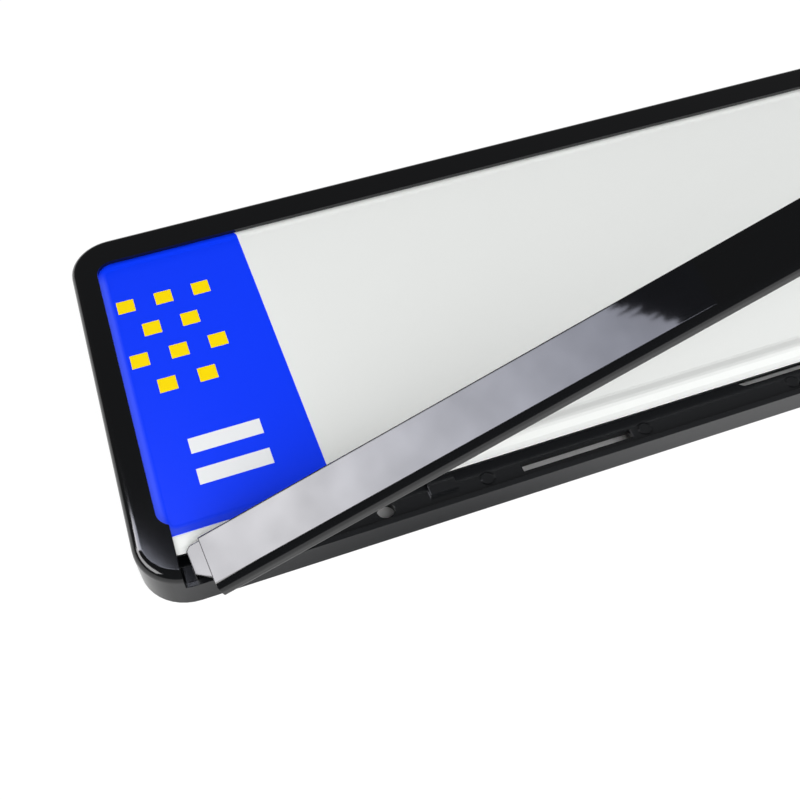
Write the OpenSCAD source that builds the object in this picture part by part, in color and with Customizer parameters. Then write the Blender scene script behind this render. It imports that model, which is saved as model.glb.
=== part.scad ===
// Holder for a long car number plate, lying on its back. The plate is in the frame,
// and the clip-on strip of the bottom edge is off its seat, as photographed.
// X runs along the plate, Y up the plate and Z out of its face. The origin is on the
// back of the frame, behind the middle of the plate.

/* [Number plate] */
// Length of the plate
plate_len = 520; // [440:1:560]
// Height of the plate
plate_tall = 110; // [100:1:130]
// Thickness of the plate's sheet
plate_t = 1; // [0.8:0.1:1.2]
// Radius of the plate's corners
plate_corner_r = 10; // [9:0.5:14]
// Height of the embossed border bead above the sheet
bead_h = 0.65; // [0.3:0.05:0.65]
// Distance from the plate's edge to the outer foot of the bead
bead_foot_out = 0.8; // [0.6:0.1:2]
// Distance from the plate's edge to the inner foot of the bead
bead_foot_in = 8; // [6:0.1:8.4]

/* [Blue film] */
// Distance from the plate's left edge to the right edge of the blue field
film_edge = 48.5; // [40:0.5:60]
// Bare margin above and below the blue field
film_margin = 5; // [3:0.5:8]
// Bare margin at the left end of the blue field
film_end_margin = 1; // [0.5:0.1:3]
// Thickness of the film
film_t = 0.15; // [0.1:0.05:0.25]

/* [Rim of the frame] */
// Height of the rim above the back
rim_h = 11.5; // [11:0.1:14]
// Thickness of the rim's outer wall
rim_wall = 1.5; // [1.2:0.1:2]
// Radius of the frame's corners seen from the front
corner_r = 12.5; // [10:0.5:16]
// Radius of the rim's rounded outer edge
rim_round = 2.4; // [1:0.1:3.5]
// Width of the rim's face at the two ends
lip_side = 7.4; // [6:0.1:9]
// Width of the rim's face along the top
lip_top = 10.6; // [9:0.1:12]
// Thickness of the lip over the plate
lip_t = 1.2; // [0.8:0.1:1.3]
// Play of the plate at each end
plate_play = 0.4; // [0.2:0.1:0.8]
// Room above the plate's top edge, which lets it slide in under the lip
top_room = 2.3; // [1.5:0.1:3]
// Length of a corner block, from the frame's end to the seat of the strip
block_len = 9.9; // [9:0.1:12]

/* [Panel and ledge] */
// Height of the panel's face, which carries the plate
panel_z = 7.5; // [7:0.1:7.6]
// Thickness of the panel
panel_t = 2.1; // [1.6:0.1:2.5]
// Depth of the ledge in front of the plate's lower edge
ledge_deep = 8.4; // [8:0.1:10]
// Depth of the ledge under the plate
ledge_under = 5; // [4:0.1:6]
// Height of the ledge's face
ledge_z = 5.5; // [5:0.1:6]
// Thickness of the ledge
ledge_t = 2; // [1.5:0.1:2.2]
// Height of the frame's low front wall
front_h = 7; // [6.8:0.1:7.2]
// Thickness of the front wall
front_wall = 1.4; // [1.2:0.1:1.6]
// Width of the groove inside the front wall
groove_w = 0.8; // [0.6:0.1:1]
// Depth of the groove inside the front wall
groove_deep = 0.7; // [0.4:0.1:0.9]
// Thickness of the ribs on the back
rib_t = 1.4; // [1:0.1:2]
// Distance between the upright ribs
rib_pitch = 43.7; // [40:0.1:46]

/* [Holes and marks] */
// Distance of the outer hook slots from the middle
hook_out = 150.2; // [146:0.1:156]
// Distance of the inner hook slots from the middle
hook_in = 65.5; // [64:0.1:67]
// Length of a hook slot
hook_slot_len = 30.5; // [28:0.5:34]
// Width of a hook slot
hook_slot_w = 2.6; // [2.4:0.1:2.8]
// Distance of the two ledge screw holes from the middle
ledge_screw_x = 201.6; // [195:0.1:208]
// Diameter of a ledge screw hole
ledge_screw_d = 4.5; // [4:0.1:5]
// Distance of the lower mounting slots from the middle
low_slot_x = 80.2; // [78:0.1:82]
// Length of a lower mounting slot
low_slot_len = 42; // [36:0.5:46]
// Width of a lower mounting slot
low_slot_w = 4.2; // [4:0.1:4.4]
// How far a lower mounting slot reaches under the plate
low_slot_under = 0.3; // [0:0.1:1]
// Distance of the panel's mounting slots from the middle, along X
panel_slot_x = 152.9; // [148:0.1:158]
// Distance of the panel's mounting slots from the middle, along Y
panel_slot_y = 13.75; // [10:0.05:17]
// Length of a panel mounting slot
panel_slot_len = 30; // [20:0.5:34]
// Width of a panel mounting slot
panel_slot_w = 5.5; // [5:0.1:6]
// Distance of the catch lugs from the middle
lug_x = 186.3; // [184:0.1:190]
// Length of a catch lug
lug_len = 7.2; // [6:0.1:8]
// Depth of a catch lug from front to back
lug_deep = 4.8; // [4:0.1:5.2]
// Height of a catch lug above the ledge
lug_h = 1.2; // [0.8:0.1:1.5]
// How far behind the line of the hook slots a catch lug stands
lug_back = 2; // [1:0.1:2.4]
// Diameter of an ejector mark
mark_d = 4; // [3:0.1:5]
// Depth of an ejector mark's ring
mark_deep = 0.4; // [0.1:0.05:0.5]
// Width of an ejector mark's ring
mark_line = 0.4; // [0.2:0.05:0.5]

/* [Clip strip] */
// Depth of the strip's face from front to back
strip_w = 15.4; // [14.5:0.1:16]
// Height of the strip's front wall
strip_h = 4.25; // [4:0.05:4.4]
// Thickness of the strip's face
strip_t = 1.5; // [1.2:0.1:1.6]
// Thickness of the strip's front wall
strip_wall = 1.4; // [1.3:0.1:1.6]
// Radius of the strip's front edge
strip_round = 2; // [1.8:0.1:3]
// Radius of the foot of the strip's front wall
strip_foot = 1.2; // [0.2:0.1:1.2]
// Radius of the strip's back edge
strip_edge = 0.5; // [0.2:0.1:0.8]
// How much shorter the strip is along its front edge, at each end
end_skew = 1.4; // [0:0.1:2]
// Gap between the strip's end and the corner block
strip_gap = 0.3; // [0.2:0.05:0.5]
// Length of an end tongue
tongue_len = 4.1; // [3:0.1:4.3]
// Thickness of an end tongue
tongue_t = 1; // [0.8:0.1:1]
// Depth of a tongue from front to back, at its end
tongue_w = 7.8; // [6:0.1:8.5]
// How much deeper a tongue is at its root than at its end
tongue_flare = 3.2; // [1:0.1:3.6]
// How far a tongue's root reaches under the strip's face
tongue_root = 3; // [2:0.1:4]
// Length of a hook
hook_len = 27; // [20:0.5:27]
// Thickness of a hook's stem
hook_t = 1.2; // [1:0.1:1.3]
// How far a hook's barb stands out
barb = 0.7; // [0.4:0.1:0.7]
// Height of a hook's barb
barb_h = 0.35; // [0.3:0.05:0.6]
// Height of the strip's underside ribs above the plate's face
rib_over = 0.3; // [0.2:0.05:0.6]
// Thickness of the strip's underside ribs
strip_rib = 1; // [0.8:0.1:1.2]
// Distance of the short underside ribs from the middle of a hook
web_gap = 25; // [20:0.5:28]

/* [Strip taken off] */
// Where the strip is
strip_off = 1; // [0:clipped on, 1:taken off]
// Angle by which the strip's far end is raised
strip_lift = 21.9; // [0:0.1:30]
// How far the strip has come out past the frame's front
strip_out = 6.1; // [4:0.1:8]
// How far the strip's end tongue has been drawn out of its pocket
strip_drawn = 6.4; // [5:0.1:7]

/* [Hidden] */
$fn = 48;
// Play of the clipped strip's tongues, hooks and back edge
clip_play = 0.1;
// Overlap of parts that are one moulding, and overshoot of cuts
lap = 0.5;

frame_len = plate_len + 2 * (plate_play + rim_wall);
frame_top = plate_tall / 2 + top_room + rim_wall;
frame_low = -plate_tall / 2 - ledge_deep;
frame_end = frame_len / 2;
plate_z = panel_z + plate_t;
lip_under = rim_h - lip_t;
front_in = frame_low + front_wall;
ledge_back = -plate_tall / 2 + ledge_under;
block_in = frame_end - block_len;
block_top = frame_low + strip_w + strip_gap;
window_r = 5;
film_r = 2;
bead_steps = 8;
hook_xs = [-hook_out, -hook_in, hook_in, hook_out];
hook_y = (-plate_tall / 2 + front_in) / 2;
low_slot_y = (low_slot_w - plate_tall) / 2 - low_slot_under;
mark_xs = [-4, -3, -2, 2, 3, 4] * rib_pitch;
ledge_rib_xs = [-5, -4, -3, -1, 0, 1, 3, 4, 5] * rib_pitch;
rib_rows = [-0.5, 0, 0.5] * plate_tall / 2;

strip_end = block_in - strip_gap;
strip_back = frame_low + strip_w;
tongue_z = lip_under - clip_play - tongue_t;
tongue_back = strip_back - 2 * clip_play;
barb_top = ledge_z - ledge_t - clip_play;
strip_under = rim_h - strip_t;
strip_low = rim_h - strip_h;
web_xs = [hook_in - web_gap, hook_in + web_gap, hook_out - web_gap, hook_out + web_gap, strip_end - web_gap];

// A plate of the given outline, centred on X, with rounded corners
module rounded(x0, x1, y0, y1, r) {
    union() {
        translate([x0 + r, y0]) square([x1 - x0 - 2 * r, y1 - y0]);
        translate([x0, y0 + r]) square([x1 - x0, y1 - y0 - 2 * r]);
        for (x = [x0 + r, x1 - r], y = [y0 + r, y1 - r]) translate([x, y]) circle(r);
    }
}

// The frame's outline seen from the front, drawn in from its edge by d
module frame_outline(d) {
    rounded(-frame_end + d, frame_end - d, frame_low + d, frame_top - d, corner_r - d);
}

// Half section of a puck with a rounded upper edge
module round_section(r, h, e) {
    union() {
        square([r, h - e]);
        square([r - e, h]);
        translate([r - e, h - e]) circle(e);
    }
}

// A flat bar section with both upper edges rounded
module bar_section(w, h, e) {
    union() {
        translate([-w / 2, 0]) square([w, h - e]);
        translate([-w / 2 + e, 0]) square([w - 2 * e, h]);
        for (s = [-1, 1]) translate([s * (w / 2 - e), h - e]) circle(e);
    }
}

// The frame as a solid block, its front edge rounded all the way round
module frame_block() {
    inner_len = frame_len - 2 * corner_r;
    inner_tall = frame_top - frame_low - 2 * corner_r;
    mid_y = (frame_top + frame_low) / 2;
    union() {
        for (s = [-1, 1], t = [-1, 1])
            translate([s * inner_len / 2, mid_y + t * inner_tall / 2, 0]) rotate_extrude() intersection() {
                round_section(corner_r, rim_h, rim_round);
                square([corner_r, rim_h]);
            }
        translate([-inner_len / 2, mid_y, 0]) rotate([90, 0, 90])
            linear_extrude(inner_len) bar_section(inner_tall + 2 * corner_r, rim_h, rim_round);
        translate([0, mid_y + inner_tall / 2, 0]) rotate([90, 0, 0])
            linear_extrude(inner_tall) bar_section(frame_len, rim_h, rim_round);
    }
}

// A slot with round ends, along X
module slot(len, w) {
    union() {
        square([len - w, w], center = true);
        for (s = [-1, 1]) translate([s * (len - w) / 2, 0]) circle(d = w);
    }
}

// Everything cut from the frame's front: the bed of the plate, the ledge, the pockets
// for the strip's tongues, the window and the seat of the strip
module front_cuts() {
    // Bed of the plate, which the lip covers
    translate([0, 0, panel_z]) linear_extrude(lip_under - panel_z) frame_outline(rim_wall);
    // Ledge, which runs on under the plate and into the corner blocks
    translate([0, 0, ledge_z]) linear_extrude(lip_under - ledge_z) intersection() {
        frame_outline(rim_wall);
        translate([-frame_end, front_in]) square([frame_len, ledge_back - front_in]);
    }
    // Groove along the foot of the front wall
    translate([-block_in, front_in, ledge_z - groove_deep])
        cube([2 * block_in, groove_w, groove_deep + lap]);
    // Window in the lip
    translate([0, 0, lip_under - lap]) linear_extrude(lip_t + 2 * lap)
        rounded(-frame_end + lip_side, frame_end - lip_side,
            block_top - 2 * lap, frame_top - lip_top, window_r);
    // Seat of the strip, between the two corner blocks
    translate([-block_in, frame_low - lap, panel_z])
        cube([2 * block_in, block_top - frame_low + lap, rim_h]);
    translate([-block_in, frame_low - lap, front_h])
        cube([2 * block_in, ledge_back - frame_low, rim_h]);
}

// The hollow under the panel and the ledge, open to the back
module back_cuts() {
    translate([0, 0, -lap]) linear_extrude(panel_z - panel_t + lap) intersection() {
        frame_outline(rim_wall);
        translate([-frame_end, ledge_back + rim_wall]) square([frame_len, frame_top - ledge_back]);
    }
    translate([0, 0, -lap]) linear_extrude(ledge_z - ledge_t + lap) intersection() {
        frame_outline(rim_wall);
        translate([-frame_end, front_in]) square([frame_len, ledge_back + rim_wall - front_in]);
    }
}

// Ribs that stiffen the panel from behind and stand on the car
module ribs() {
    for (k = [-5:5]) translate([k * rib_pitch - rib_t / 2, ledge_back, 0])
        cube([rib_t, frame_top - ledge_back - rim_wall / 2, panel_z - panel_t + lap]);
    for (x = ledge_rib_xs) translate([x - rib_t / 2, frame_low + rim_wall / 2, 0])
        cube([rib_t, ledge_back - frame_low, ledge_z - ledge_t + lap]);
    for (y = rib_rows) translate([-frame_end + rim_wall / 2, y - rib_t / 2, 0])
        cube([frame_len - rim_wall, rib_t, panel_z - panel_t + lap]);
}

// Slots and holes that go right through the ledge and the panel
module through_holes() {
    for (x = hook_xs) translate([x - hook_slot_len / 2, hook_y - hook_slot_w / 2, -lap])
        cube([hook_slot_len, hook_slot_w, ledge_z + 2 * lap]);
    for (s = [-1, 1]) {
        translate([s * ledge_screw_x, hook_y, -lap]) cylinder(d = ledge_screw_d, h = ledge_z + 2 * lap);
        translate([s * low_slot_x, low_slot_y, -lap])
            linear_extrude(ledge_z + 2 * lap) slot(low_slot_len, low_slot_w);
        for (t = [-1, 1]) translate([s * panel_slot_x, t * panel_slot_y, -lap])
            linear_extrude(panel_z + 2 * lap) slot(panel_slot_len, panel_slot_w);
    }
}

// Ring that an ejector pin leaves in the ledge
module ejector_mark() {
    linear_extrude(mark_deep + lap) difference() {
        circle(d = mark_d);
        circle(d = mark_d - 2 * mark_line);
    }
}

module base_frame() {
    color([0.06, 0.06, 0.065]) union() {
        difference() {
            union() {
                difference() {
                    frame_block();
                    back_cuts();
                }
                intersection() {
                    ribs();
                    linear_extrude(panel_z) frame_outline(rim_wall / 2);
                }
            }
            front_cuts();
            through_holes();
            for (x = mark_xs) translate([x, hook_y, ledge_z - mark_deep]) ejector_mark();
        }
        for (s = [-1, 1])
            translate([s * lug_x - lug_len / 2, hook_y - lug_deep / 2 + lug_back, ledge_z - lap])
                cube([lug_len, lug_deep, lug_h + lap]);
    }
}

// Section of the plate's bead, a smooth swell, with its radius measured from the
// centre of the plate's corner
module bead_section() {
    wide = bead_foot_in - bead_foot_out;
    polygon([for (k = [0:bead_steps])
        [plate_corner_r - bead_foot_in + wide * k / bead_steps, bead_h * pow(sin(180 * k / bead_steps), 2)]]);
}

// The border bead, run along the four sides and turned round the corners
module bead() {
    side_x = plate_len / 2 - plate_corner_r;
    side_y = plate_tall / 2 - plate_corner_r;
    for (a = [0, 180]) rotate([0, 0, a]) {
        translate([side_x, side_y, 0]) rotate_extrude(angle = 90) bead_section();
        translate([-side_x, side_y, 0]) rotate([0, 0, 90]) rotate_extrude(angle = 90) bead_section();
        translate([side_x, side_y, 0]) rotate([90, 0, 0]) linear_extrude(2 * side_y) bead_section();
        translate([-side_x, side_y, 0]) rotate([90, 0, 90]) linear_extrude(2 * side_x) bead_section();
    }
}

module number_plate() {
    color([0.88, 0.9, 0.89]) translate([0, 0, panel_z]) plate_sheet();
}

// The stamped sheet, with the bead raised on its face and hollow behind
module plate_sheet() {
    difference() {
        union() {
            linear_extrude(plate_t)
                rounded(-plate_len / 2, plate_len / 2, -plate_tall / 2, plate_tall / 2, plate_corner_r);
            translate([0, 0, plate_t]) bead();
        }
        bead();
    }
}

module blue_film() {
    color([0.04, 0.2, 0.98]) translate([0, 0, panel_z]) difference() {
        intersection() {
            translate([0, 0, film_t]) plate_sheet();
            linear_extrude(rim_h) rounded(-plate_len / 2 + film_end_margin, -plate_len / 2 + film_edge,
                -plate_tall / 2 + film_margin, plate_tall / 2 - film_margin, film_r);
        }
        plate_sheet();
    }
}

// Section of the strip, looking along X: a face that turns down into the front wall
module strip_section() {
    inner_round = strip_round - strip_wall;
    inner_y = frame_low + strip_wall;
    difference() {
        union() {
            translate([frame_low, strip_low]) square([strip_w, strip_h - strip_round]);
            translate([frame_low + strip_round, strip_low])
                square([strip_w - strip_round, strip_h - strip_edge]);
            translate([frame_low + strip_round, strip_low])
                square([strip_w - strip_round - strip_edge, strip_h]);
            translate([frame_low + strip_round, rim_h - strip_round]) circle(strip_round);
            translate([strip_back - strip_edge, rim_h - strip_edge]) circle(strip_edge);
        }
        translate([inner_y + inner_round, strip_low - lap])
            square([strip_w, strip_under - strip_low + lap]);
        translate([inner_y, strip_low - lap])
            square([2 * inner_round, strip_under - inner_round - strip_low + lap]);
        translate([inner_y + inner_round, strip_under - inner_round]) circle(inner_round);
        translate([frame_low - lap, strip_low - 2 * strip_round]) square([strip_w, 2 * strip_round]);
        translate([frame_low - lap, strip_low - lap]) difference() {
            square(strip_foot + lap);
            translate([strip_foot + lap, strip_foot + lap]) circle(strip_foot);
        }
    }
}

// The strip's outline seen from the front, carried on past its front and back edges
module strip_plan() {
    half = strip_end + end_skew;
    linear_extrude(2 * rim_h) polygon([
        [-half, strip_back + strip_w],
        [half, strip_back + strip_w],
        [half - 3 * end_skew, frame_low - strip_w],
        [-half + 3 * end_skew, frame_low - strip_w]
    ]);
}

// One end tongue, for the end at +X, its end cut at the same slant as the strip's
module tongue() {
    tip_front = tongue_back - tongue_w;
    root_front = tip_front - tongue_flare;
    slant = end_skew / strip_w;
    translate([strip_end, 0, tongue_z]) linear_extrude(tongue_t) polygon([
        [-tongue_root, tongue_back],
        [tongue_len - tongue_t, tongue_back],
        [tongue_len, tongue_back - tongue_t],
        [tongue_len - slant * tongue_w, tip_front],
        [-slant * (tongue_w + tongue_flare), root_front],
        [-tongue_root, root_front]
    ]);
}

// One hook, hanging from the strip through its slot in the ledge
module hook() {
    side = hook_t / 2;
    rotate([90, 0, 90]) linear_extrude(hook_len, center = true) polygon([
        [side, strip_under + lap],
        [side, barb_top - barb_h],
        [-side, barb_top - barb_h],
        [-side - barb, barb_top],
        [-side, barb_top],
        [-side, strip_under + lap]
    ]);
}

// Ribs under the strip's face: a long one that keeps the plate down on the outside of its
// bead, and short webs from it to the front wall
module strip_ribs() {
    long_y = -plate_tall / 2 + bead_foot_out - strip_rib;
    long_z = plate_z + rib_over;
    translate([-strip_end + tongue_root, long_y, long_z])
        cube([2 * (strip_end - tongue_root), strip_rib, strip_under + lap - long_z]);
    for (s = [-1, 1], x = web_xs) translate([s * x - strip_rib / 2, front_in - lap, long_z])
        cube([strip_rib, long_y + 2 * lap - front_in, strip_under + lap - long_z]);
}

// The strip in its clipped place
module strip_clipped() {
    union() {
        intersection() {
            translate([-strip_end, 0, 0]) rotate([90, 0, 90]) linear_extrude(2 * strip_end) strip_section();
            strip_plan();
        }
        tongue();
        mirror([1, 0, 0]) tongue();
        for (x = hook_xs) translate([x, hook_y, 0]) hook();
        strip_ribs();
    }
}

module clip_strip() {
    // The tongue's lower corner, which the strip turns on and stands on when it is off
    pivot = [-strip_end - tongue_len, 0, tongue_z];
    color([0.08, 0.08, 0.085])
        if (strip_off == 0) strip_clipped();
        else translate([pivot[0] + strip_drawn, -strip_out, plate_z]) rotate([0, -strip_lift, 0])
            translate(-pivot) strip_clipped();
}

base_frame();
number_plate();
blue_film();
clip_strip();
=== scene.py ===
# A car's number plate holder, lying on its back with a plain plate in it. The clip strip of
# its lower edge is off its seat, with one end tongue on the plate's corner.
import math

import bmesh
import bpy
from mathutils import Matrix, Vector

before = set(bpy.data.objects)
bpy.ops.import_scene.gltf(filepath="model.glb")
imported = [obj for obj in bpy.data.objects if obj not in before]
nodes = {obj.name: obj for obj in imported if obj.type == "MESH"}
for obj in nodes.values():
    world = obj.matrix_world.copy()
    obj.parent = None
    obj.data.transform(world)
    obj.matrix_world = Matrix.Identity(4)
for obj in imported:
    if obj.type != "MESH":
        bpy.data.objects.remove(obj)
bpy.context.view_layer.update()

# Base frame: one injection moulding in black ABS, with a tray for the plate, a lip along
# three sides and a ledge for the strip. The rim is polished in the tool, and the ledge, the
# front wall and the tray are left satin. The corner blocks take the rim's gloss and its darker
# black, which is painted shade in the pockets at the strip's ends.
PLASTIC_BLACK = "08090b"
LEDGE_BLACK = "1c1d1f"
PLASTIC_IOR = 1.54
RIM_ROUGHNESS = 0.07
LEDGE_ROUGHNESS = 0.2
LEDGE_TOP = (0.0085, 0.0095)
# Painted shade: beyond these limits the corner blocks take the rim's darker black.
SHADED_BLOCK_FROM = (0.2485, -0.0622)
GRIT = 0.0006
GRIT_TALL = 0.0001
GRIT_DEPTH = 0.06
SOFT_EDGE = 0.0003
EDGE_SAMPLES = 6


def linear(hex_colour):
    """The linear colour, with alpha 1, of an sRGB hex value."""
    parts = [int(hex_colour[i:i + 2], 16) / 255 for i in (0, 2, 4)]
    return [p / 12.92 if p <= 0.04045 else ((p + 0.055) / 1.055) ** 2.4 for p in parts] + [1]


def add_node(tree, kind, settings, links):
    """Adds a node, gives it its settings and inputs, and links sources to its inputs."""
    node = tree.nodes.new(kind)
    for name, value in settings.items():
        if isinstance(name, str) and hasattr(node, name):
            setattr(node, name, value)
        else:
            node.inputs[name].default_value = value
    for name, source in links.items():
        tree.links.new(source, node.inputs[name])
    return node


def start_material(name, colour):
    """A new material of one colour, with its shader and the piece's own coordinates."""
    material = bpy.data.materials.new(name)
    material.use_nodes = True
    material.diffuse_color = linear(colour)
    shader = material.node_tree.nodes["Principled BSDF"]
    shader.inputs["Base Color"].default_value = linear(colour)
    place = add_node(material.node_tree, "ShaderNodeTexCoord", {}, {})
    return material, shader, place.outputs["Object"]


frame_abs, shader, place = start_material("moulded_black_abs", PLASTIC_BLACK)
tree = frame_abs.node_tree
shader.inputs["IOR"].default_value = PLASTIC_IOR
height = add_node(tree, "ShaderNodeSeparateXYZ", {}, {0: place})
shade = add_node(tree, "ShaderNodeMapRange", {1: LEDGE_TOP[0], 2: LEDGE_TOP[1], 3: 1, 4: 0},
                 {0: height.outputs["Z"]})
# The corner blocks, beyond the limits below, are left out of the satin. They take the rim's darker
# black as painted shade in the pockets at the strip's ends, and the rim's gloss.
side = add_node(tree, "ShaderNodeMath", {"operation": "ABSOLUTE"}, {0: height.outputs["X"]})
side = add_node(tree, "ShaderNodeMath", {"operation": "LESS_THAN", 1: SHADED_BLOCK_FROM[0]},
                {0: side.outputs[0]})
front = add_node(tree, "ShaderNodeMath", {"operation": "LESS_THAN", 1: SHADED_BLOCK_FROM[1]},
                 {0: height.outputs["Y"]})
satin_outside_shade = add_node(tree, "ShaderNodeMath", {"operation": "MAXIMUM"},
                 {0: side.outputs[0], 1: front.outputs[0]})
shade = add_node(tree, "ShaderNodeMath", {"operation": "MULTIPLY"},
                 {0: shade.outputs[0], 1: satin_outside_shade.outputs[0]})
polish = add_node(tree, "ShaderNodeMapRange", {3: RIM_ROUGHNESS, 4: LEDGE_ROUGHNESS},
                  {0: shade.outputs[0]})
tree.links.new(polish.outputs[0], shader.inputs["Roughness"])
colour = add_node(tree, "ShaderNodeMix",
                  {"data_type": "RGBA", 6: linear(PLASTIC_BLACK), 7: linear(LEDGE_BLACK)},
                  {0: shade.outputs[0]})
tree.links.new(colour.outputs[2], shader.inputs["Base Color"])
grain = add_node(tree, "ShaderNodeTexNoise", {"Scale": 1 / GRIT, "Detail": 2}, {"Vector": place})
soft_edge = add_node(tree, "ShaderNodeBevel", {"samples": EDGE_SAMPLES, "Radius": SOFT_EDGE}, {})
grain_depth = add_node(tree, "ShaderNodeMath", {"operation": "MULTIPLY", 1: GRIT_DEPTH},
                       {0: shade.outputs[0]})
grain_bump = add_node(tree, "ShaderNodeBump", {"Distance": GRIT_TALL},
                      {"Height": grain.outputs[0], "Normal": soft_edge.outputs[0],
                       "Strength": grain_depth.outputs[0]})
tree.links.new(grain_bump.outputs[0], shader.inputs["Normal"])

nodes["base_frame"].data.materials.clear()
nodes["base_frame"].data.materials.append(frame_abs)

# Number plate: 1 mm aluminium sheet with a stamped bead round its edge. White reflective
# film covers its face, and the bare metal shows at its edge and on its back.
FILM_WHITE = "eef0ee"
FILM_FOOT = 0.0083
FILM_IOR = 1.49
FILM_ROUGHNESS = 0.42
ALUMINIUM = "b9bcbe"

plate_film, shader, place = start_material("white_reflective_film", FILM_WHITE)
tree = plate_film.node_tree
shader.inputs["IOR"].default_value = FILM_IOR
shader.inputs["Roughness"].default_value = FILM_ROUGHNESS
height = add_node(tree, "ShaderNodeSeparateXYZ", {}, {0: place})
metal = add_node(tree, "ShaderNodeMath", {"operation": "LESS_THAN", 1: FILM_FOOT},
                 {0: height.outputs["Z"]})
colour = add_node(tree, "ShaderNodeMix",
                  {"data_type": "RGBA", 6: linear(FILM_WHITE), 7: linear(ALUMINIUM)},
                  {0: metal.outputs[0]})
tree.links.new(colour.outputs[2], shader.inputs["Base Color"])
tree.links.new(metal.outputs[0], shader.inputs["Metallic"])

nodes["number_plate"].data.materials.clear()
nodes["number_plate"].data.materials.append(plate_film)

# Blue field: reflective film laid over the plate's left end before stamping, so it follows
# the bead. A paler blue along the bead is a painted highlight. A plain pattern of squares
# and bars is printed on it.
FILM_BLUE = "0b3bff"
PRINT_YELLOW = "ffe000"
PRINT_WHITE = "f0f2f4"
BLUE_ROUGHNESS = 0.3
BLUE_SPECULAR = 0.18
# Painted highlight: the paler blue laid along the bead's crest.
BEAD_HIGHLIGHT_BLUE = "3f59ff"
BEAD_HIGHLIGHT_FROM = (0.0044, 0.0056)
BEAD_HIGHLIGHT_TO = (0.0066, 0.0078)
BEAD_HIGHLIGHT_END = (-0.2520, -0.2460)
BEAD_HIGHLIGHT_LOW = 0.3
BEAD_HIGHLIGHT_TOP = (0.0420, 0.0470)
PLATE_HALF = (0.2600, 0.0550)
PLATE_CORNER = 0.0100

SQUARES_AT = (-0.2520, -0.0080)
SQUARES_SIZE = (0.0276, 0.0440)
SQUARE_PITCH = 0.011
SQUARE_GAP = 0.003
SQUARE_INSET = 0.001
BARS_AT = (-0.2450, -0.0400)
BARS_SIZE = (0.0240, 0.0200)
BAR_PITCH = (0.024, 0.010)
BAR_GAP = 0.0025
BRICK_UNIT = 0.1


def printed_marks(tree, place, corner, size, pitch, gap, stagger):
    """A mask of marks in rows, inside the rectangle that starts at corner, for the print."""
    middle = (corner[0] + size[0] / 2, corner[1] + size[1] / 2, 0)
    centred = add_node(tree, "ShaderNodeVectorMath", {"operation": "SUBTRACT", 1: middle}, {0: place})
    distance = add_node(tree, "ShaderNodeVectorMath", {"operation": "ABSOLUTE"},
                        {0: centred.outputs[0]})
    split = add_node(tree, "ShaderNodeSeparateXYZ", {}, {0: distance.outputs[0]})
    near_x = add_node(tree, "ShaderNodeMath", {"operation": "LESS_THAN", 1: size[0] / 2},
                      {0: split.outputs["X"]})
    near_y = add_node(tree, "ShaderNodeMath", {"operation": "LESS_THAN", 1: size[1] / 2},
                      {0: split.outputs["Y"]})
    inside = add_node(tree, "ShaderNodeMath", {"operation": "MULTIPLY"},
                      {0: near_x.outputs[0], 1: near_y.outputs[0]})
    edge = gap + (size[0] - SQUARE_INSET) / 2 if stagger else size[0] / 2
    moved = add_node(tree, "ShaderNodeVectorMath", {"operation": "ADD", 1: (edge, size[1] / 2, 0)},
                     {0: centred.outputs[0]})
    rows = add_node(tree, "ShaderNodeTexBrick",
                    {"offset": stagger, "Scale": 1 / BRICK_UNIT, "Mortar Size": gap / BRICK_UNIT,
                     "Mortar Smooth": 0, "Brick Width": pitch[0] / BRICK_UNIT,
                     "Row Height": pitch[1] / BRICK_UNIT},
                    {"Vector": moved.outputs[0]})
    solid = add_node(tree, "ShaderNodeMath", {"operation": "SUBTRACT", 0: 1}, {1: rows.outputs["Fac"]})
    return add_node(tree, "ShaderNodeMath", {"operation": "MULTIPLY"},
                    {0: inside.outputs[0], 1: solid.outputs[0]}).outputs[0]


blue_print, shader, place = start_material("blue_reflective_film", FILM_BLUE)
tree = blue_print.node_tree
shader.inputs["IOR"].default_value = FILM_IOR
shader.inputs["Roughness"].default_value = BLUE_ROUGHNESS
shader.inputs["Specular IOR Level"].default_value = BLUE_SPECULAR
squares = printed_marks(tree, place, SQUARES_AT, SQUARES_SIZE, (SQUARE_PITCH, SQUARE_PITCH),
                        SQUARE_GAP, 0.5)
bars = printed_marks(tree, place, BARS_AT, BARS_SIZE, BAR_PITCH, BAR_GAP, 0)
ink_and_highlight = add_node(tree, "ShaderNodeMix",
               {"data_type": "RGBA", 6: linear(FILM_BLUE), 7: linear(PRINT_YELLOW)}, {0: squares})
ink_and_highlight = add_node(tree, "ShaderNodeMix", {"data_type": "RGBA", 7: linear(PRINT_WHITE)},
               {0: bars, 6: ink_and_highlight.outputs[2]})
# Painted highlight: a band of paler blue along the bead. It is full at the left end, fainter along the
# lower edge, and absent along the top.
middle = add_node(tree, "ShaderNodeVectorMath", {"operation": "ABSOLUTE"}, {0: place})
corner = add_node(tree, "ShaderNodeVectorMath",
                  {"operation": "SUBTRACT",
                   1: (PLATE_HALF[0] - PLATE_CORNER, PLATE_HALF[1] - PLATE_CORNER, 1)},
                  {0: middle.outputs[0]})
corner = add_node(tree, "ShaderNodeVectorMath", {"operation": "MAXIMUM", 1: (0, 0, 0)},
                  {0: corner.outputs[0]})
corner = add_node(tree, "ShaderNodeVectorMath", {"operation": "LENGTH"}, {0: corner.outputs[0]})
inset = add_node(tree, "ShaderNodeMath", {"operation": "SUBTRACT", 0: PLATE_CORNER},
                 {1: corner.outputs["Value"]})
outer = add_node(tree, "ShaderNodeMapRange",
                 {1: BEAD_HIGHLIGHT_FROM[0], 2: BEAD_HIGHLIGHT_FROM[1], 3: 0, 4: 1}, {0: inset.outputs[0]})
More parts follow.
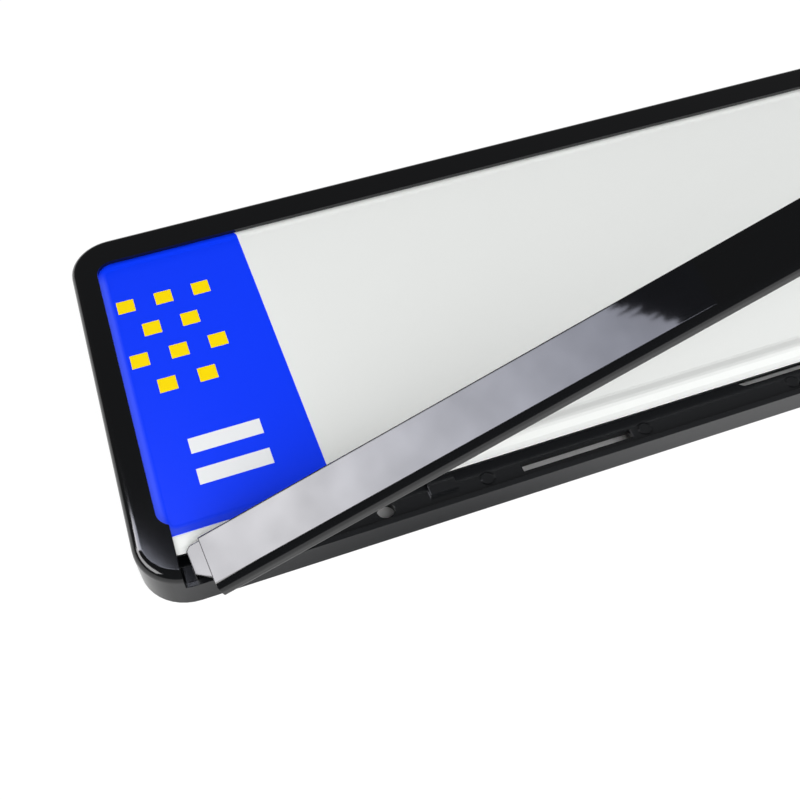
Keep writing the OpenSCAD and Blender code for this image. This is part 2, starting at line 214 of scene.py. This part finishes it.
inner = add_node(tree, "ShaderNodeMapRange",
                 {1: BEAD_HIGHLIGHT_TO[0], 2: BEAD_HIGHLIGHT_TO[1], 3: 1, 4: 0}, {0: inset.outputs[0]})
split = add_node(tree, "ShaderNodeSeparateXYZ", {}, {0: place})
left = add_node(tree, "ShaderNodeMapRange",
                {1: BEAD_HIGHLIGHT_END[0], 2: BEAD_HIGHLIGHT_END[1], 3: 1, 4: BEAD_HIGHLIGHT_LOW},
                {0: split.outputs["X"]})
low = add_node(tree, "ShaderNodeMapRange",
               {1: BEAD_HIGHLIGHT_TOP[0], 2: BEAD_HIGHLIGHT_TOP[1], 3: 1, 4: 0}, {0: split.outputs["Y"]})
highlight_band = add_node(tree, "ShaderNodeMath", {"operation": "MULTIPLY"},
                {0: outer.outputs[0], 1: inner.outputs[0]})
highlight_band = add_node(tree, "ShaderNodeMath", {"operation": "MULTIPLY"},
                {0: highlight_band.outputs[0], 1: left.outputs[0]})
highlight_band = add_node(tree, "ShaderNodeMath", {"operation": "MULTIPLY"},
                {0: highlight_band.outputs[0], 1: low.outputs[0]})
ink_and_highlight = add_node(tree, "ShaderNodeMix", {"data_type": "RGBA", 7: linear(BEAD_HIGHLIGHT_BLUE)},
               {0: highlight_band.outputs[0], 6: ink_and_highlight.outputs[2]})
tree.links.new(ink_and_highlight.outputs[2], shader.inputs["Base Color"])
nodes["blue_film"].data.materials.clear()
nodes["blue_film"].data.materials.append(blue_print)

# Clip strip: a black ABS moulding with a polished face, which closes the frame's lower
# edge. Its hooks and tongues are out of their slots and pockets here.
STRIP_ROUGHNESS = 0.035
STRIP_EDGE = 0.0003

strip_abs, shader, _ = start_material("polished_black_abs", PLASTIC_BLACK)
tree = strip_abs.node_tree
shader.inputs["IOR"].default_value = PLASTIC_IOR
shader.inputs["Roughness"].default_value = STRIP_ROUGHNESS
soft_edge = add_node(tree, "ShaderNodeBevel", {"samples": EDGE_SAMPLES, "Radius": STRIP_EDGE}, {})
tree.links.new(soft_edge.outputs[0], shader.inputs["Normal"])
nodes["clip_strip"].data.materials.clear()
nodes["clip_strip"].data.materials.append(strip_abs)

# Floor: a white sheet. Away from the object it shows white to the camera and in the gloss,
# with a trace of shadow. Under the tray a dark grey is painted on as painted shade, and what
# lies right in front of the frame is mirrored darker, a painted shadow of the strip.
FLOOR_WHITE = "f0f0f0"
FLOOR_SIZE = 12
FLOOR_ROUGHNESS = 0.9
FOOT_HALF = (0.2500, 0.0561)
FOOT_MIDDLE = (0.0, -0.0039, 0.0)
FOOT_EDGE = 0.0005
FOOT_FADE = 0.02
# Painted shade: the dark grey the floor takes under the tray.
FLOOR_PAINTED_SHADE = "0c0c0c"
PAINTED_SHADE_FROM = (-0.0094, -0.0090)
GLOW_SEEN = 0.9
GLOW_MIRRORED = 0.66
GLOW_POWER = 1.06
SHADE_MIDDLE = (-0.192, -0.064, 0.0)
SHADE_HALF = (0.085, 0.012, 1.0)
SHADE_DARK = 0.62

sheet = bmesh.new()
bmesh.ops.create_grid(sheet, x_segments=1, y_segments=1, size=FLOOR_SIZE)
floor_mesh = bpy.data.meshes.new("floor")
sheet.to_mesh(floor_mesh)
sheet.free()
floor = bpy.data.objects.new("floor", floor_mesh)
bpy.context.scene.collection.objects.link(floor)
floor_paint, shader, place = start_material("white_floor", FLOOR_WHITE)
tree = floor_paint.node_tree
shader.inputs["Roughness"].default_value = FLOOR_ROUGHNESS
centred = add_node(tree, "ShaderNodeVectorMath", {"operation": "SUBTRACT", 1: FOOT_MIDDLE}, {0: place})
distance = add_node(tree, "ShaderNodeVectorMath", {"operation": "ABSOLUTE"}, {0: centred.outputs[0]})
distance = add_node(tree, "ShaderNodeVectorMath",
                    {"operation": "SUBTRACT", 1: (*FOOT_HALF, 0)}, {0: distance.outputs[0]})
split = add_node(tree, "ShaderNodeSeparateXYZ", {}, {0: distance.outputs[0]})
outside = add_node(tree, "ShaderNodeMath", {"operation": "MAXIMUM"},
                   {0: split.outputs["X"], 1: split.outputs["Y"]})
# Painted shade: the floor turns dark grey well inside the tray's outline.
painted_shade_mask = add_node(tree, "ShaderNodeMapRange", {1: PAINTED_SHADE_FROM[0], 2: PAINTED_SHADE_FROM[1], 3: 1, 4: 0},
                 {0: outside.outputs[0]})
colour = add_node(tree, "ShaderNodeMix",
                  {"data_type": "RGBA", 6: linear(FLOOR_WHITE), 7: linear(FLOOR_PAINTED_SHADE)},
                  {0: painted_shade_mask.outputs[0]})
tree.links.new(colour.outputs[2], shader.inputs["Base Color"])
rays = add_node(tree, "ShaderNodeLightPath", {}, {})
seen = add_node(tree, "ShaderNodeMapRange", {1: 0.0, 2: FOOT_EDGE, 3: 0.0, 4: GLOW_SEEN},
                {0: outside.outputs[0]})
seen = add_node(tree, "ShaderNodeMath", {"operation": "MULTIPLY"},
                {0: seen.outputs[0], 1: rays.outputs["Is Camera Ray"]})
mirrored = add_node(tree, "ShaderNodeMapRange", {1: 0.0, 2: FOOT_FADE, 3: 0.0, 4: GLOW_MIRRORED},
                    {0: outside.outputs[0]})
shiny = add_node(tree, "ShaderNodeMath", {"operation": "MAXIMUM"},
                 {0: rays.outputs["Is Glossy Ray"], 1: rays.outputs["Is Transmission Ray"]})
mirrored = add_node(tree, "ShaderNodeMath", {"operation": "MULTIPLY"},
                    {0: mirrored.outputs[0], 1: shiny.outputs[0]})
share = add_node(tree, "ShaderNodeMath", {"operation": "MAXIMUM"},
                 {0: seen.outputs[0], 1: mirrored.outputs[0]})
white = add_node(tree, "ShaderNodeEmission", {"Color": (1, 1, 1, 1), "Strength": GLOW_POWER}, {})
mixed = add_node(tree, "ShaderNodeMixShader", {},
                 {0: share.outputs[0], 1: shader.outputs[0], 2: white.outputs[0]})
shade_at = add_node(tree, "ShaderNodeVectorMath", {"operation": "SUBTRACT", 1: SHADE_MIDDLE},
                    {0: place})
shade_at = add_node(tree, "ShaderNodeVectorMath", {"operation": "DIVIDE", 1: SHADE_HALF},
                    {0: shade_at.outputs[0]})
shade_at = add_node(tree, "ShaderNodeVectorMath", {"operation": "LENGTH"}, {0: shade_at.outputs[0]})
shade = add_node(tree, "ShaderNodeMapRange",
                 {"interpolation_type": "SMOOTHSTEP", 1: 0.0, 2: 1.0, 3: SHADE_DARK, 4: 0.0},
                 {0: shade_at.outputs["Value"]})
shade = add_node(tree, "ShaderNodeMath", {"operation": "MULTIPLY"},
                 {0: shade.outputs[0], 1: shiny.outputs[0]})
dark = add_node(tree, "ShaderNodeEmission", {"Color": (1, 1, 1, 1), "Strength": 0.0}, {})
mixed = add_node(tree, "ShaderNodeMixShader", {},
                 {0: shade.outputs[0], 1: mixed.outputs[0], 2: dark.outputs[0]})
tree.links.new(mixed.outputs[0], tree.nodes["Material Output"].inputs["Surface"])
floor_mesh.materials.append(floor_paint)

# Softbox: a long narrow panel above the far left, turned to lie along the strip in its
# gloss. Its cloth is brightest and least cool at its left end, with a ragged right end.
PANEL_TARGET = Vector((-0.2, -0.06, 0.03))
PANEL_DISTANCE = 1.2
PANEL_SIZE = (0.84, 0.136, 1)
PANEL_SHIFT = (-0.06, 0.01, 0)
PANEL_TOWARDS = (127, 47)
PANEL_TURN = -42.7
CLOTH_SPAN = (-0.35, 0.20)
CLOTH_POWER = (5.3, 12.4)
CLOTH_RIGHT = (0.93, 0.96, 1.13, 1)
CLOTH_LEFT = (0.99, 0.985, 1.03, 1)
CLOTH_STREAKS = (8, 170, 1)
CLOTH_DETAIL = 3
CLOTH_SLANT = 1.07
CLOTH_RAGGED = 0.085
CLOTH_EDGE = (-0.3665, -0.3625)
CLOTH_DARK = 0.022
CLOUD_SCALE = 14
CLOUD_RANGE = (0.3, 0.7)
CLOUD_POWER = (0.88, 1.12)


def hang_panel(name, size, shift, towards, turn):
    """A flat panel that faces the frame's left end and shows in its gloss alone."""
    sheet = bmesh.new()
    bmesh.ops.create_grid(sheet, x_segments=1, y_segments=1, size=0.5)
    bmesh.ops.scale(sheet, vec=size, verts=sheet.verts)
    bmesh.ops.translate(sheet, vec=shift, verts=sheet.verts)
    mesh = bpy.data.meshes.new(name)
    sheet.to_mesh(mesh)
    sheet.free()
    panel = bpy.data.objects.new(name, mesh)
    bpy.context.scene.collection.objects.link(panel)
    azimuth, elevation = (math.radians(angle) for angle in towards)
    away = Vector((math.cos(elevation) * math.cos(azimuth),
                   math.cos(elevation) * math.sin(azimuth), math.sin(elevation)))
    panel.location = PANEL_TARGET + PANEL_DISTANCE * away
    spin = Matrix.Rotation(math.radians(turn), 3, "Z")
    panel.rotation_euler = (away.to_track_quat("Z", "Y").to_matrix() @ spin).to_euler()
    panel.visible_diffuse = False
    panel.visible_camera = False
    return mesh


glow, _, place = start_material("softbox_cloth", "ffffff")
tree = glow.node_tree
across = add_node(tree, "ShaderNodeSeparateXYZ", {}, {0: place})
power = add_node(tree, "ShaderNodeMapRange",
                 {1: CLOTH_SPAN[0], 2: CLOTH_SPAN[1], 3: CLOTH_POWER[0], 4: CLOTH_POWER[1]},
                 {0: across.outputs["X"]})
streaks = add_node(tree, "ShaderNodeMapping", {"Scale": CLOTH_STREAKS}, {"Vector": place})
streaks = add_node(tree, "ShaderNodeTexNoise", {"Scale": 1, "Detail": CLOTH_DETAIL},
                   {"Vector": streaks.outputs[0]})
slanted = add_node(tree, "ShaderNodeMath", {"operation": "MULTIPLY_ADD", 1: CLOTH_SLANT},
                   {0: across.outputs["Y"], 2: across.outputs["X"]})
ragged = add_node(tree, "ShaderNodeMath", {"operation": "MULTIPLY_ADD", 1: CLOTH_RAGGED},
                  {0: streaks.outputs[0], 2: slanted.outputs[0]})
ragged = add_node(tree, "ShaderNodeMapRange",
                  {1: CLOTH_EDGE[0], 2: CLOTH_EDGE[1], 3: CLOTH_DARK, 4: 1},
                  {0: ragged.outputs[0]})
clouds = add_node(tree, "ShaderNodeTexNoise", {"Scale": CLOUD_SCALE, "Detail": CLOTH_DETAIL},
                  {"Vector": place})
clouds = add_node(tree, "ShaderNodeMapRange",
                  {1: CLOUD_RANGE[0], 2: CLOUD_RANGE[1], 3: CLOUD_POWER[0], 4: CLOUD_POWER[1]},
                  {0: clouds.outputs[0]})
power = add_node(tree, "ShaderNodeMath", {"operation": "MULTIPLY"},
                 {0: power.outputs[0], 1: ragged.outputs[0]})
power = add_node(tree, "ShaderNodeMath", {"operation": "MULTIPLY"},
                 {0: power.outputs[0], 1: clouds.outputs[0]})
tint = add_node(tree, "ShaderNodeMapRange", {1: CLOTH_SPAN[0], 2: CLOTH_SPAN[1], 3: 0, 4: 1},
                {0: across.outputs["X"]})
tint = add_node(tree, "ShaderNodeMix", {"data_type": "RGBA", 6: CLOTH_RIGHT, 7: CLOTH_LEFT},
                {0: tint.outputs[0]})
lamp = add_node(tree, "ShaderNodeEmission", {},
                {"Color": tint.outputs[2], "Strength": power.outputs[0]})
tree.links.new(lamp.outputs[0], tree.nodes["Material Output"].inputs["Surface"])
hang_panel("softbox", PANEL_SIZE, PANEL_SHIFT, PANEL_TOWARDS, PANEL_TURN).materials.append(glow)

# Side softbox: a second panel further left and lower, which the rounded corner and edge of
# the rim mirror. Its cloth is plain white.
SIDE_SIZE = (1.02, 0.42, 1)
SIDE_TOWARDS = (173, 35)
SIDE_POWER = 7

side_glow, _, _ = start_material("side_softbox_cloth", "ffffff")
tree = side_glow.node_tree
lamp = add_node(tree, "ShaderNodeEmission", {"Color": (1, 1, 1, 1), "Strength": SIDE_POWER}, {})
tree.links.new(lamp.outputs[0], tree.nodes["Material Output"].inputs["Surface"])
hang_panel("side_softbox", SIDE_SIZE, (0, 0, 0), SIDE_TOWARDS, 0).materials.append(side_glow)

# Lamps: two large soft ones, overhead and in front, whose own images stay out of the gloss.
for lamp_name, lamp_place, lamp_size, lamp_watts in (
        ("overhead_lamp", (0.0, -0.1, 1.5), 1.6, 9.0),
        ("front_lamp", (0.1, -1.15, 0.9), 1.4, 28.0)):
    lamp_data = bpy.data.lights.new(lamp_name, "AREA")
    lamp_data.size = lamp_size
    lamp_data.energy = lamp_watts
    lamp_object = bpy.data.objects.new(lamp_name, lamp_data)
    lamp_object.location = lamp_place
    lamp_object.rotation_euler = Vector(lamp_place).to_track_quat("Z", "Y").to_euler()
    lamp_object.visible_glossy = False
    bpy.context.scene.collection.objects.link(lamp_object)

# World: a dim studio with a pale band round the horizon, which the gloss mirrors. It shows
# white to the camera.
WORLD_DIM = 0.11
WORLD_BAND = (0.02, 0.16)
world = bpy.data.worlds.new("studio")
bpy.context.scene.world = world
world.use_nodes = True
tree = world.node_tree
sky_place = add_node(tree, "ShaderNodeTexCoord", {}, {})
sky_height = add_node(tree, "ShaderNodeSeparateXYZ", {}, {0: sky_place.outputs["Generated"]})
sky = add_node(tree, "ShaderNodeMapRange",
               {1: WORLD_BAND[0], 2: WORLD_BAND[1], 3: 1.0, 4: WORLD_DIM},
               {0: sky_height.outputs["Z"]})
rays = add_node(tree, "ShaderNodeLightPath", {}, {})
sky = add_node(tree, "ShaderNodeMath", {"operation": "MAXIMUM"},
               {0: sky.outputs[0], 1: rays.outputs["Is Camera Ray"]})
tree.links.new(sky.outputs[0], tree.nodes["Background"].inputs["Strength"])
tree.nodes["Background"].inputs["Color"].default_value = (1, 1, 1, 1)

# Camera: close above the left corner, as the photograph was taken.
CAMERA_PLACE = (-0.2408, -0.1832, 0.2098)
CAMERA_TURN = (39.874594, 2.138365, -19.118265)
CAMERA_LENS = 44.51
CAMERA_NEAR = 0.01
SENSOR_WIDTH = 36
CENTRE_PX = (370.04, 384.07)
IMAGE_PX = 800

camera_data = bpy.data.cameras.new("camera")
camera_data.sensor_width = SENSOR_WIDTH
camera_data.lens = CAMERA_LENS
camera_data.shift_x = 0.5 - CENTRE_PX[0] / IMAGE_PX
camera_data.shift_y = CENTRE_PX[1] / IMAGE_PX - 0.5
camera_data.clip_start = CAMERA_NEAR
camera = bpy.data.objects.new("camera", camera_data)
camera.location = CAMERA_PLACE
camera.rotation_euler = [math.radians(a) for a in CAMERA_TURN]
bpy.context.scene.collection.objects.link(camera)
bpy.context.scene.camera = camera
bpy.context.scene.view_settings.view_transform = "Standard"
